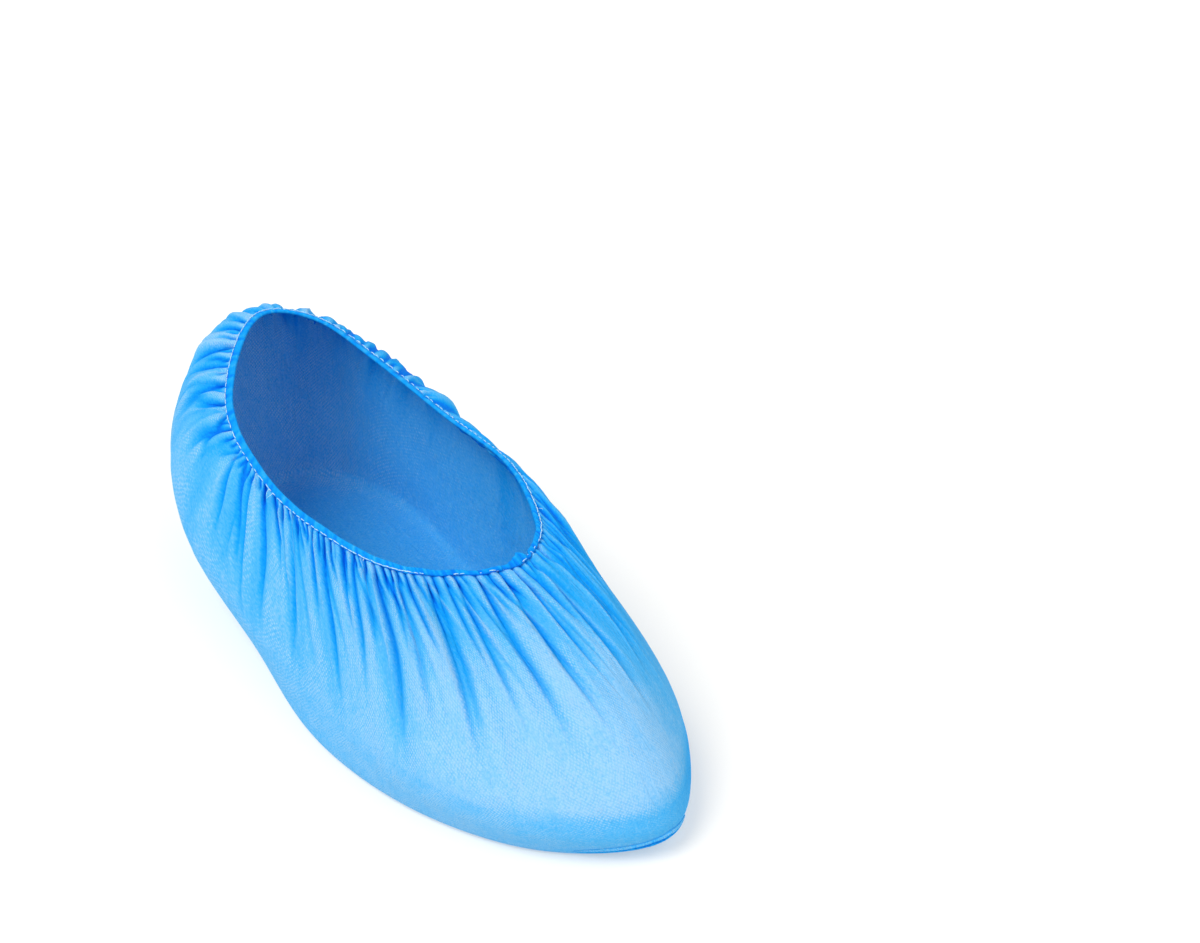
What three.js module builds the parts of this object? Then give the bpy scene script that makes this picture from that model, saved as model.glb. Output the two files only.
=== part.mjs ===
// A disposable shoe cover in the shape that it has when worn: a bag of thin nonwoven fabric, gathered all round
// its opening by an elastic hem, with a short seam tuck across the lower toe.
// Millimetres, +Z up. The toe points to -Y and the outer side of the foot to -X.
// The origin is on the floor, under the middle of the part's box.
import * as THREE from "three";

// Driving sizes of the fabric
const FABRIC_THICKNESS = 1.3;
const SOLE_EDGE_RADIUS = 5;
const SOLE_CORNER = { inset: 1, up: 1.1 };
const MAIN_GATHERS = 40;
const COLUMNS_PER_GATHER = 4;
const WALL_RINGS = [0.1, 0.2, 0.31, 0.43, 0.55, 0.66, 0.76, 0.86, 0.94, 1];
const GATHER_RAMP = 0.34;
const GATHER_AT_HEM = { depth: 1, from: 0.9 };
const SLANT_REACH = 0.5;

// Driving sizes of the hem
const HEM_HEIGHT = 5;
const HEM_PROUD = 0.3;
const HEM_THICKNESS = 2.4;
const HEM_EDGE_ROUND = { down: 0.9, inset: 0.6 };
const HEM_COLUMNS = 80;

// Driving sizes of the seam tuck, whose start and end are shares of a turn round the foot
const SEAM = { start: -0.026, end: 0.052, lowClimb: 0.085, highClimb: 0.17, width: 5, proud: 2.2, steps: 24 };
const SEAM_CRINKLE = { depth: 0.5, waves: 9 };

const PIECE_GAP = 0.3;
const NUDGE = 0.002;

// Stations round the foot, from the toe by the outer side to the heel and back by the inner side.
// Each row has the edge of the sole on the floor, the widest line of the wall, the shoulder where the fabric
// turns in over the foot, and the rim of the opening. foldDepth is how deep the main gathers are, foldEnd is
// the share of the wall's height where they die out, and slant is how far they lean round, in turns.
const STATION_COLUMNS = [
  "soleX", "soleY", "wideX", "wideY", "wideZ", "shoulderX", "shoulderY", "shoulderZ",
  "rimX", "rimY", "rimZ", "foldDepth", "foldEnd", "slant",
];
const STATION_ROWS = {
  toe:           [ 15, -154,  15, -160, 20,  12, -119, 60,   8, -58,  82, 3.0, 0.50,  0.04],
  toeOuter:      [-25, -131, -29, -133, 22, -19,  -97, 59, -14, -46,  82, 3.2, 0.44,  0.04],
  ballOuter:     [-53,  -84, -56,  -83, 26, -41,  -60, 64, -28, -29,  82, 3.2, 0.36,  0.05],
  foreOuter:     [-64,  -26, -63,  -26, 28, -53,  -19, 64, -35,   2,  80, 3.0, 0.30,  0.08],
  waistOuter:    [-56,   34, -64,   34, 30, -52,   36, 66, -37,  46,  78, 3.2, 0.30,  0.07],
  heelOuter:     [-44,   94, -59,   96, 36, -48,   94, 74, -31,  92,  85, 4.0, 0.38, -0.06],
  heelTurnOuter: [-24,  136, -35,  147, 44, -29,  139, 84, -13, 121,  95, 5.0, 0.46,  0.00],
  heel:          [  7,  148,   7,  161, 46,   6,  158, 90,   9, 137, 101, 5.0, 0.50,  0.00],
  heelTurnInner: [ 37,  136,  43,  146, 44,  41,  140, 84,  30, 126,  96, 5.0, 0.46,  0.00],
  heelInner:     [ 54,   93,  58,   95, 38,  58,   93, 75,  41,  94,  87, 4.0, 0.38,  0.05],
  waistInner:    [ 51,   34,  58,   34, 32,  60,   34, 69,  46,  46,  83, 3.2, 0.30, -0.05],
  foreInner:     [ 58,  -26,  60,  -26, 30,  59,  -20, 66,  49,   4,  83, 3.0, 0.32, -0.05],
  ballInner:     [ 62,  -83,  63,  -83, 27,  50,  -63, 66,  42, -27,  81, 3.2, 0.38, -0.04],
  toeInner:      [ 43, -130,  47, -132, 23,  40,  -99, 61,  29, -50,  82, 3.2, 0.46, -0.02],
};
const STATIONS = Object.values(STATION_ROWS).map((row) =>
  Object.fromEntries(STATION_COLUMNS.map((column, i) => [column, row[i]])),
);

// Value at t between from and to, on the smooth curve that passes through all four.
function throughFour(before, from, to, after, t) {
  const linear = (to - before) * t;
  const square = (2 * before - 5 * from + 4 * to - after) * t * t;
  const cube = (3 * from - before - 3 * to + after) * t * t * t;
  return 0.5 * (2 * from + linear + square + cube);
}

// Value of a station column at a share of a turn round the foot.
function around(column, turn) {
  const count = STATIONS.length;
  const place = THREE.MathUtils.euclideanModulo(turn, 1) * count;
  const index = Math.floor(place);
  const value = (step) => STATIONS[(index + step + count) % count][column];
  return throughFour(value(-1), value(0), value(1), value(2), place - index);
}

// Point of the smooth wall, without gathers: climb goes from 0 at the sole's edge to 1 at the rim.
function wallPoint(turn, climb) {
  const sole = new THREE.Vector3(around("soleX", turn), around("soleY", turn), 0);
  const guides = [sole];
  for (const line of ["wide", "shoulder", "rim"]) {
    guides.push(
      new THREE.Vector3(around(line + "X", turn), around(line + "Y", turn), around(line + "Z", turn)),
    );
  }
  const spans = guides.length - 1;
  const index = Math.min(Math.floor(climb * spans), spans - 1);
  const beyond = (end, next) => end.clone().multiplyScalar(2).sub(next);
  const before = index > 0 ? guides[index - 1] : beyond(guides[0], guides[1]);
  const after = index < spans - 1 ? guides[index + 2] : beyond(guides[spans], guides[spans - 1]);
  const t = climb * spans - index;
  const [from, to] = [guides[index], guides[index + 1]];
  return new THREE.Vector3(
    throughFour(before.x, from.x, to.x, after.x, t),
    throughFour(before.y, from.y, to.y, after.y, t),
    throughFour(before.z, from.z, to.z, after.z, t),
  );
}

// Direction out of the smooth wall.
function wallNormal(turn, climb) {
  const low = Math.max(climb - NUDGE, 0);
  const high = Math.min(climb + NUDGE, 1);
  const up = wallPoint(turn, high).sub(wallPoint(turn, low));
  const along = wallPoint(turn + NUDGE, climb).sub(wallPoint(turn - NUDGE, climb));
  return up.cross(along).normalize();
}

// Rim point of the hem, its way out, and its way down the wall.
function hemFrame(turn) {
  const rim = wallPoint(turn, 1);
  const down = wallPoint(turn, 1 - NUDGE).sub(rim);
  const climbPerLength = NUDGE / down.length();
  return { rim, out: wallNormal(turn, 1), down: down.normalize(), climbPerLength };
}

function hemPoint(frame, outward, downward) {
  return frame.rim
    .clone()
    .addScaledVector(frame.out, outward)
    .addScaledVector(frame.down, downward);
}

// Gathers differ from one to the next: a share of the full depth for each.
function gatherShare(gather) {
  return 0.78 + 0.22 * Math.sin(gather * 2.4 + 0.7) * Math.cos(gather * 1.1);
}

// How far a column of the fabric lies inside the smooth wall, at a share of the height up to the hem.
function gatherDepth(column, turn, height) {
  const gather = column / COLUMNS_PER_GATHER;
  const valley = 0.5 - 0.5 * Math.cos(2 * Math.PI * gather);
  const end = around("foldEnd", turn);
  const grown = THREE.MathUtils.smoothstep(height, end, end + GATHER_RAMP);
  const full = around("foldDepth", turn) * gatherShare(Math.round(gather)) * grown;
  const nearHem = THREE.MathUtils.smoothstep(height, GATHER_AT_HEM.from, 1);
  return valley * THREE.MathUtils.lerp(full, GATHER_AT_HEM.depth, nearHem);
}

// Point of the fabric on one column, inset below its outer face by the given thickness.
function fabricPoint(column, height, inset) {
  const columns = MAIN_GATHERS * COLUMNS_PER_GATHER;
  const atHem = column / columns;
  const turn = atHem - around("slant", atHem) * Math.min(1 - height, SLANT_REACH);
  const depth = gatherDepth(column, turn, height) + inset;
  const frame = hemFrame(turn);
  const drop = HEM_HEIGHT + PIECE_GAP;
  if (height === 1) return hemPoint(frame, -depth, drop);
  const climb = height * (1 - drop * frame.climbPerLength);
  return wallPoint(turn, climb).addScaledVector(wallNormal(turn, climb), -depth);
}

// Point of the sole, inset level from its edge and raised off the floor.
function solePoint(column, inset, up) {
  const columns = MAIN_GATHERS * COLUMNS_PER_GATHER;
  const atHem = column / columns;
  const turn = atHem - around("slant", atHem) * SLANT_REACH;
  const along = wallPoint(turn + NUDGE, 0).sub(wallPoint(turn - NUDGE, 0)).normalize();
  const inward = new THREE.Vector3(along.y, -along.x, 0);
  return wallPoint(turn, 0).addScaledVector(inward, inset).setZ(up);
}

function ring(columns, pointAt) {
  return Array.from({ length: columns }, (_, column) => pointAt(column));
}

// Triangles between rings of equal length, each ring closed on itself.
function bandFaces(ringCount, columns, first) {
  const faces = [];
  for (let level = 0; level < ringCount - 1; level++) {
    for (let column = 0; column < columns; column++) {
      const next = (column + 1) % columns;
      const low = first + level * columns;
      const high = low + columns;
      faces.push(low + column, high + column, high + next);
      faces.push(low + column, high + next, low + next);
    }
  }
  return faces;
}

function geometryOf(points, faces) {
  const geometry = new THREE.BufferGeometry().setFromPoints(points);
  geometry.setIndex(faces);
  geometry.computeVertexNormals();
  return geometry;
}

// The fabric: outside from the middle of the sole up to the hem, over the edge and down the inside.
function fabricBody() {
  const columns = MAIN_GATHERS * COLUMNS_PER_GATHER;
  const t = FABRIC_THICKNESS;
  const outside = [
    ring(columns, (c) => solePoint(c, SOLE_EDGE_RADIUS, 0)),
    ring(columns, (c) => solePoint(c, SOLE_CORNER.inset, SOLE_CORNER.up)),
    ...WALL_RINGS.map((height) => ring(columns, (c) => fabricPoint(c, height, 0))),
  ];
  const inside = [
    ring(columns, (c) => solePoint(c, SOLE_EDGE_RADIUS + t, t)),
    ring(columns, (c) => solePoint(c, SOLE_CORNER.inset + t, SOLE_CORNER.up + t)),
    ...WALL_RINGS.map((height) => ring(columns, (c) => fabricPoint(c, height, t))),
  ];
  const rings = [...outside, ...inside.reverse()];
  const points = [new THREE.Vector3(0, 0, 0), ...rings.flat(), new THREE.Vector3(0, 0, t)];
  const last = points.length - 1;
  const lastRing = last - columns;
  const faces = bandFaces(rings.length, columns, 1);
  for (let column = 0; column < columns; column++) {
    const next = (column + 1) % columns;
    faces.push(0, 1 + column, 1 + next);
    faces.push(lastRing + column, last, lastRing + next);
  }
  return geometryOf(points, faces);
}

// The hem: a flat casing with a folded top edge, all round the opening.
function elasticHem() {
  const outer = HEM_PROUD;
  const inner = HEM_PROUD - HEM_THICKNESS;
  const { down, inset } = HEM_EDGE_ROUND;
  const section = [
    [outer, HEM_HEIGHT],
    [outer, down],
    [outer - inset, 0],
    [inner + inset, 0],
    [inner, down],
    [inner, HEM_HEIGHT],
  ];
  const frames = ring(HEM_COLUMNS, (c) => hemFrame(c / HEM_COLUMNS));
  const rings = section.map(([out, drop]) => frames.map((frame) => hemPoint(frame, out, drop)));
  return geometryOf([...rings, rings[0]].flat(), bandFaces(section.length + 1, HEM_COLUMNS, 0));
}

// One section of the seam tuck across its length, which shrinks to a small end at both ends.
function seamSection(share) {
  const turn = THREE.MathUtils.lerp(SEAM.start, SEAM.end, share);
  const climb = THREE.MathUtils.lerp(SEAM.highClimb, SEAM.lowClimb, share);
  const point = wallPoint(turn, climb);
  const out = wallNormal(turn, climb);
  const up = wallPoint(turn, climb + NUDGE).sub(point).normalize();
  const swell = Math.sqrt(Math.sin(Math.PI * THREE.MathUtils.lerp(0.04, 0.96, share)));
  const crinkle = SEAM_CRINKLE.depth * Math.sin(2 * Math.PI * SEAM_CRINKLE.waves * share);
  const half = (SEAM.width / 2) * swell;
  const proud = PIECE_GAP + SEAM.proud * swell;
  const profile = [
    [PIECE_GAP, half * 0.8],
    [proud * 0.6, half + crinkle],
    [proud, half * 0.2 + crinkle],
    [proud * 0.7, -half * 0.7],
    [PIECE_GAP, -half],
  ];
  return profile.map(([outward, upward]) =>
    point.clone().addScaledVector(out, outward).addScaledVector(up, upward),
  );
}

// The seam tuck: a low crimped ridge that lies on the lower front of the toe.
function toeSeam() {
  const sections = Array.from({ length: SEAM.steps + 1 }, (_, i) => seamSection(i / SEAM.steps));
  const sides = sections[0].length;
  const last = SEAM.steps * sides;
  const faces = bandFaces(sections.length, sides, 0);
  for (let side = 1; side < sides - 1; side++) {
    faces.push(0, side, side + 1);
    faces.push(last, last + side + 1, last + side);
  }
  return geometryOf(sections.flat(), faces);
}

function fabric(color) {
  return new THREE.MeshStandardMaterial({ color, roughness: 0.75, metalness: 0 });
}

function piece(name, geometry, material) {
  const mesh = new THREE.Mesh(geometry, material);
  mesh.name = name;
  return mesh;
}

const shoeCover = new THREE.Group();
shoeCover.add(piece("fabric_body", fabricBody(), fabric("#6ec7fb")));
shoeCover.add(piece("elastic_hem", elasticHem(), fabric("#2f9df2")));
shoeCover.add(piece("toe_seam", toeSeam(), fabric("#3aa9f6")));

export default shoeCover;
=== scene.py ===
"""A disposable shoe cover in its worn form: thin blue nonwoven, gathered by an elastic hem, on a pale floor.

Every length is in metres unless its name or its table says millimetres. The toe points to -Y, the outer side
to -X, and the sole lies on the floor at Z = 0. A turn is a share of the way round the cover, from the toe by
the outer side. A climb is a share of the way up the smooth wall, from the sole's edge to the rim. A height is
a share of the way up the cloth, which ends behind the hem.
"""

import logging
import math
from dataclasses import dataclass, field, replace
from enum import Enum

import bmesh
import bpy
import numpy as np
from mathutils import Euler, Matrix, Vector

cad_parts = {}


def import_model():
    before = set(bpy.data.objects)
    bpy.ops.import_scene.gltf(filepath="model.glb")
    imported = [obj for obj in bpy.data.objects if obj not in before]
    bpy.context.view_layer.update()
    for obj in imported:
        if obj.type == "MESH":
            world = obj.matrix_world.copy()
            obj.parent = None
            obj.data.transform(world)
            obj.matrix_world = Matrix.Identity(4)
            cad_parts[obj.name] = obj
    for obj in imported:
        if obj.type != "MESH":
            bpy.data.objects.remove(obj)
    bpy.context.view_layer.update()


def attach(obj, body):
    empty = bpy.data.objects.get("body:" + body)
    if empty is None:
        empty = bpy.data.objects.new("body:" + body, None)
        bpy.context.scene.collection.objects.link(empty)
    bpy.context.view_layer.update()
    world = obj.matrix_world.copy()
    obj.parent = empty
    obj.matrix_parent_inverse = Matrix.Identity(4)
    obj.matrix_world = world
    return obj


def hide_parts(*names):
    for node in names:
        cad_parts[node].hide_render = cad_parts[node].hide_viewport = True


LOG = logging.getLogger("shoe_cover")
MM = 0.001
BODY = "root"
# Vertices nearer to each other than this are one.
WELD = 1e-6


class Slot(Enum):
    """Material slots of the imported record."""

    NONWOVEN = "nonwoven"
    HEM = "hem"
    THREAD = "thread"


# The shape of the worn cover


STATION_COLUMNS = (
    "sole_x", "sole_y", "wide_x", "wide_y", "wide_z", "shoulder_x", "shoulder_y", "shoulder_z",
    "rim_x", "rim_y", "rim_z", "slant",
)
# Millimetres, from the toe by the outer side to the heel and back by the inner side; slant is in turns.
STATION_ROWS = {
    "toe":              (15, -154, 15, -160, 20, 12, -119, 60, 8, -58, 82, 0.04),
    "toe_outer":        (-25, -131, -29, -133, 22, -19, -97, 59, -14, -46, 82, 0.04),
    "ball_outer":       (-53, -84, -56, -83, 26, -41, -60, 64, -28, -29, 82, 0.05),
    "fore_outer":       (-64, -26, -63, -26, 28, -53, -19, 64, -35, 2, 80, 0.08),
    "waist_outer":      (-56, 34, -64, 34, 30, -52, 36, 66, -37, 46, 78, 0.07),
    "heel_outer":       (-44, 94, -59, 96, 36, -48, 94, 74, -31, 92, 85, -0.06),
    "heel_turn_outer":  (-24, 136, -35, 147, 44, -29, 139, 84, -13, 121, 95, 0.0),
    "heel":             (7, 148, 7, 161, 46, 6, 158, 90, 9, 137, 101, 0.0),
    "heel_turn_inner":  (37, 136, 43, 146, 44, 41, 140, 84, 30, 126, 96, 0.0),
    "heel_inner":       (54, 93, 58, 95, 38, 58, 93, 75, 41, 94, 87, 0.05),
    "waist_inner":      (51, 34, 58, 34, 32, 60, 34, 69, 46, 46, 83, -0.05),
    "fore_inner":       (58, -26, 60, -26, 30, 59, -20, 66, 49, 4, 83, -0.05),
    "ball_inner":       (62, -83, 63, -83, 27, 50, -63, 66, 42, -27, 81, -0.04),
    "toe_inner":        (43, -130, 47, -132, 23, 40, -99, 61, 29, -50, 82, -0.02),
}


def smooth_step(value: np.ndarray, start: float, end: float) -> np.ndarray:
    """Eased share from 0 at start to 1 at end."""
    share = np.clip((value - start) / (end - start), 0.0, 1.0)
    return share * share * (3.0 - 2.0 * share)


def from_toe(turn: np.ndarray) -> np.ndarray:
    """Turns counted both ways from the toe, from -0.5 on the inner side to 0.5 on the outer side."""
    return np.mod(np.asarray(turn, float) + 0.5, 1.0) - 0.5


def hump(value: np.ndarray, centre: float, spread: float) -> np.ndarray:
    """A soft bell that is 1 at its centre and has died out two spreads away."""
    return np.exp(-(((value - centre) / spread) ** 2))


def through_four(before, start, end, after, share):
    """Value at share between start and end, on the smooth curve that passes through all four."""
    linear = (end - before) * share
    square = (2 * before - 5 * start + 4 * end - after) * share**2
    cube = (3 * start - before - 3 * end + after) * share**3
    return 0.5 * (2 * start + linear + square + cube)


@dataclass(frozen=True)
class WornShape:
    """The smooth wall of the worn cover, without its gathers.

    Attributes:
        rows: The stations round the cover.
        hem_height: How far the hem reaches down the wall from the rim.
        hem_narrowing: Share of that height that the hem loses over the instep.
        flare: How much further the hem reaches down beside its join.
        flare_turn: Turns from the toe at which it does.
        slant_reach: Share of the wall's height over which gathers lean, from the hem down.
        nudge: Step for slopes, as a share of a turn or of the wall.
    """

    rows: dict = field(default_factory=lambda: STATION_ROWS)
    hem_height: float = 3.8 * MM
    hem_narrowing: float = 0.42
    flare: float = 1.2 * MM
    flare_turn: float = -0.027
    slant_reach: float = 0.5
    nudge: float = 0.002

    def around(self, column: str, turn: np.ndarray) -> np.ndarray:
        """Value of a station column at shares of a turn round the cover.

        Args:
            column: Name of the column.
            turn: Shares of a turn from the toe by the outer side.

        Returns:
            The column's values, in the table's own units.
        """
        place = STATION_COLUMNS.index(column)
        values = np.array([row[place] for row in self.rows.values()], float)
        count = len(values)
        position = np.mod(turn, 1.0) * count
        index = np.floor(position).astype(int)
        four = [values[(index + step) % count] for step in (-1, 0, 1, 2)]
        return through_four(*four, position - index)

    def line(self, name: str, turn: np.ndarray) -> np.ndarray:
        """Points of one guide line round the cover: sole, wide, shoulder or rim."""
        x = self.around(f"{name}_x", turn)
        y = self.around(f"{name}_y", turn)
        z = np.zeros_like(x) if name == "sole" else self.around(f"{name}_z", turn)
        return np.stack([x, y, z], axis=-1) * MM

    def wall(self, turn: np.ndarray, climb: np.ndarray) -> np.ndarray:
        """Points of the smooth wall.

        Args:
            turn: Shares of a turn round the cover.
            climb: Shares of the way up, from 0 at the sole's edge to 1 at the rim.

        Returns:
            One point for each pair of shares.
        """
        turn, climb = np.broadcast_arrays(np.asarray(turn, float), np.asarray(climb, float))
        guides = [self.line(name, turn) for name in ("sole", "wide", "shoulder", "rim")]
        guides.insert(0, 2 * guides[0] - guides[1])
        guides.append(2 * guides[-1] - guides[-2])
        spans = 3
        index = np.clip(np.floor(climb * spans).astype(int), 0, spans - 1)
        stack = np.stack(guides, axis=0)
        picks = [(index + step)[None, ..., None] for step in range(4)]
        four = [np.take_along_axis(stack, pick, axis=0)[0] for pick in picks]
        return through_four(*four, (climb * spans - index)[..., None])

    def outward(self, turn: np.ndarray, climb: np.ndarray) -> np.ndarray:
        """Unit directions out of the smooth wall."""
        high = np.minimum(climb + self.nudge, 1.0)
        low = np.maximum(climb - self.nudge, 0.0)
        up = self.wall(turn, high) - self.wall(turn, low)
        out = np.cross(up, self.along(turn, climb))
        return out / np.linalg.norm(out, axis=-1, keepdims=True)

    def along(self, turn: np.ndarray, climb: np.ndarray) -> np.ndarray:
        """Unit directions round the cover, towards a larger turn."""
        step = self.wall(turn + self.nudge, climb) - self.wall(turn - self.nudge, climb)
        return step / np.linalg.norm(step, axis=-1, keepdims=True)

    def lengths(self, turn: np.ndarray) -> np.ndarray:
        """Lengths of the wall from the sole's edge to the rim."""
        stations = np.linspace(0, 1, 71)
        climb = np.linspace(0, 1, 25)
        points = self.wall(stations[:, None], climb[None, :])
        measured = np.linalg.norm(np.diff(points, axis=1), axis=-1).sum(axis=1)
        return np.interp(np.mod(turn, 1.0), stations, measured)

    def rim_turn(self, share: float) -> float:
        """Turn that lies at a share of the rim's length from the toe."""
        stations = np.linspace(0, 1, 281)
        steps = np.linalg.norm(np.diff(self.line("rim", stations), axis=0), axis=-1)
        gone = np.concatenate([[0.0], np.cumsum(steps)])
        return float(np.interp(share, gone / gone[-1], stations))

    def rim_pace(self, turn: float) -> float:
        """Length of rim for each turn, in metres, at one place on it."""
        step = 0.01
        ends = self.line("rim", np.array([turn - step, turn + step]))
        return float(np.linalg.norm(ends[1] - ends[0])) / (2 * step)

    def hem_reach(self, turn: np.ndarray) -> np.ndarray:
        """How far the hem reaches down the wall: it is narrow over the instep and flares at its join."""
        signed = from_toe(turn)
        narrow = self.hem_narrowing * hump(signed, 0.0, 0.10)
        return self.hem_height * (1 - narrow) + self.flare * hump(signed, self.flare_turn, 0.012)

    def hem_frame(self, turn: np.ndarray) -> tuple[np.ndarray, np.ndarray, np.ndarray, np.ndarray]:
        """The rim and its directions.

        Args:
            turn: Shares of a turn round the cover.

        Returns:
            Rim points, directions outward, directions down the wall, and the climb lost for each metre down.
        """
        rim = self.wall(turn, np.ones_like(turn))
        down = self.wall(turn, np.full_like(turn, 1 - self.nudge)) - rim
        length = np.linalg.norm(down, axis=-1, keepdims=True)
        out = self.outward(turn, np.ones_like(turn))
        return rim, out, down / length, self.nudge / length[..., 0]

    def turn_at(self, at_hem: np.ndarray, height: np.ndarray) -> np.ndarray:
        """Where a column of cloth that starts at a turn on the hem lies lower down, as gathers lean."""
        return at_hem - self.around("slant", at_hem) * np.minimum(1 - height, self.slant_reach)


# Gathers and folds


@dataclass(frozen=True)
class Fold:
    """One valley that runs down from the hem.

    Attributes:
        turn: Where it starts on the hem, in turns from the toe.
        low_turn: Where its lower end lies.
        end: Share of the wall's height at which it has died out.
        depth: Depth in millimetres.
        width: Half width in millimetres where it is widest.
        lean: From -1 to 1; where positive, the side towards a larger turn is the steep one.
        bend: How far its middle bows towards a larger turn, in turns.
    """

    turn: float
    low_turn: float
    end: float
    depth: float
    width: float
    lean: float = 0.0
    bend: float = 0.0


# Long folds of the front, the outer side and the heel. The columns are the fields of Fold:
# turn, low turn, end, depth, width, lean and bend.
LONG_FOLDS = (
    (-0.118, -0.104, 0.48, 2.8, 2.5,  0.6,  0.002),
    (-0.091, -0.081, 0.44, 3.0, 2.5,  0.7,  0.003),
    (-0.064, -0.057, 0.52, 3.2, 2.5,  0.8, -0.008),
    (-0.041, -0.036, 0.50, 4.0, 3.2,  0.9,  0.001),
    (-0.013, -0.016, 0.58, 2.8, 2.1,  0.7,  0.003),
    ( 0.014,  0.004, 0.50, 3.8, 2.6,  0.9,  0.010),
    ( 0.037,  0.033, 0.48, 3.4, 2.3,  0.8,  0.008),
    ( 0.058,  0.058, 0.50, 2.8, 2.0,  0.7,  0.009),
    ( 0.072,  0.073, 0.66, 2.0, 1.6,  0.3,  0.004),
    ( 0.082,  0.086, 0.40, 3.0, 2.0,  0.7,  0.010),
    ( 0.100,  0.088, 0.34, 3.2, 2.1,  0.8,  0.010),
    ( 0.116,  0.106, 0.64, 2.0, 1.5,  0.4,  0.004),
    ( 0.130,  0.117, 0.40, 3.2, 2.1,  0.7,  0.006),
    ( 0.147,  0.134, 0.60, 2.2, 1.5,  0.3,  0.002),
    ( 0.162,  0.139, 0.30, 3.2, 1.9,  0.7, -0.002),
    ( 0.176,  0.160, 0.52, 2.4, 1.5,  0.4,  0.002),
    ( 0.191,  0.166, 0.38, 3.6, 1.6,  0.5,  0.002),
    ( 0.206,  0.180, 0.56, 2.2, 1.2, -0.3,  0.000),
    ( 0.223,  0.182, 0.26, 4.2, 1.5,  0.4,  0.002),
    ( 0.241,  0.212, 0.50, 2.4, 1.2,  0.3,  0.000),
    ( 0.262,  0.232, 0.24, 4.4, 1.6,  0.4, -0.003),
    ( 0.279,  0.252, 0.56, 2.4, 1.2, -0.3,  0.000),
    ( 0.297,  0.262, 0.26, 4.4, 1.6,  0.4, -0.002),
    ( 0.310,  0.276, 0.18, 2.0, 1.1, -0.5,  0.004),
    ( 0.320,  0.288, 0.32, 3.8, 1.5,  0.4,  0.002),
    ( 0.334,  0.318, 0.36, 2.8, 1.4, -0.4,  0.000),
    ( 0.348,  0.377, 0.50, 3.8, 2.8, -0.5,  0.000),
    ( 0.362,  0.352, 0.60, 2.6, 2.0,  0.4,  0.000),
    ( 0.376,  0.392, 0.62, 3.2, 2.6,  0.4,  0.000),
    ( 0.399,  0.405, 0.48, 4.4, 3.2,  0.5, -0.002),
    ( 0.421,  0.424, 0.66, 3.2, 2.6, -0.4,  0.000),
    ( 0.444,  0.436, 0.54, 4.4, 3.3,  0.5,  0.000),
    ( 0.468,  0.466, 0.68, 3.2, 2.7,  0.4,  0.000),
    ( 0.491,  0.494, 0.54, 4.2, 3.3, -0.5,  0.000),
    ( 0.516,  0.512, 0.66, 3.4, 2.7,  0.4,  0.000),
    ( 0.540,  0.545, 0.52, 4.0, 3.1, -0.5,  0.000),
)


@dataclass(frozen=True)
class GatherLayer:
    """A set of gathers round the hem that differ from one to the next.

    Attributes:
        count: How many there are.
        depth: Mean depth in millimetres.
        width: Mean half width in millimetres.
        length: Mean length down the wall in millimetres.
        spread: Share by which lengths and depths differ.
        seed: Seed of their differences.
        first: Turn where the set starts.
        last: Turn where it ends.
        even: Whether the set is spread evenly by the rim's length, and not by turn.
        jitter: How far a gather strays on the hem, as a share of the pitch.
        stray: How far its lower end strays, as a share of the pitch.
        leaning: The strongest lean.
        bowing: The strongest bend, as a share of the pitch.
    """

    count: int
    depth: float
    width: float
    length: float
    spread: float
    seed: int
    first: float = 0.0
    last: float = 1.0
    even: bool = False
    jitter: float = 0.32
    stray: float = 0.45
    leaning: float = 0.6
    bowing: float = 0.12

    def folds(self, shape: WornShape) -> list[Fold]:
        """The gathers of this set, in order round the hem.

        Args:
            shape: The smooth worn shape that they run down.

        Returns:
            One fold for each gather.
        """
        draw = np.random.default_rng(self.seed)
        pitch = (self.last - self.first) / self.count
        made = []
        for index in range(self.count):
            jitter, deep, wide, far, side, bow = draw.uniform(-1.0, 1.0, 6)
            turn = self.first + (index + 0.5 + self.jitter * jitter) * pitch
            if self.even:
                turn = shape.rim_turn(turn)
            length = self.length * (1 + self.spread * far) * MM
            end = 1 - min(length / float(shape.lengths(np.array([turn]))[0]), 0.97)
            low_turn = float(shape.turn_at(np.array([turn]), np.array([end]))[0])
            made.append(
                Fold(
                    turn=turn,
                    low_turn=low_turn + self.stray * pitch * bow,
                    end=end,
                    depth=self.depth * (1 + self.spread * deep),
                    width=self.width * (1 + 0.25 * wide),
                    lean=self.leaning * side,
                    bend=self.bowing * pitch * side,
                )
            )
        return made


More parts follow.
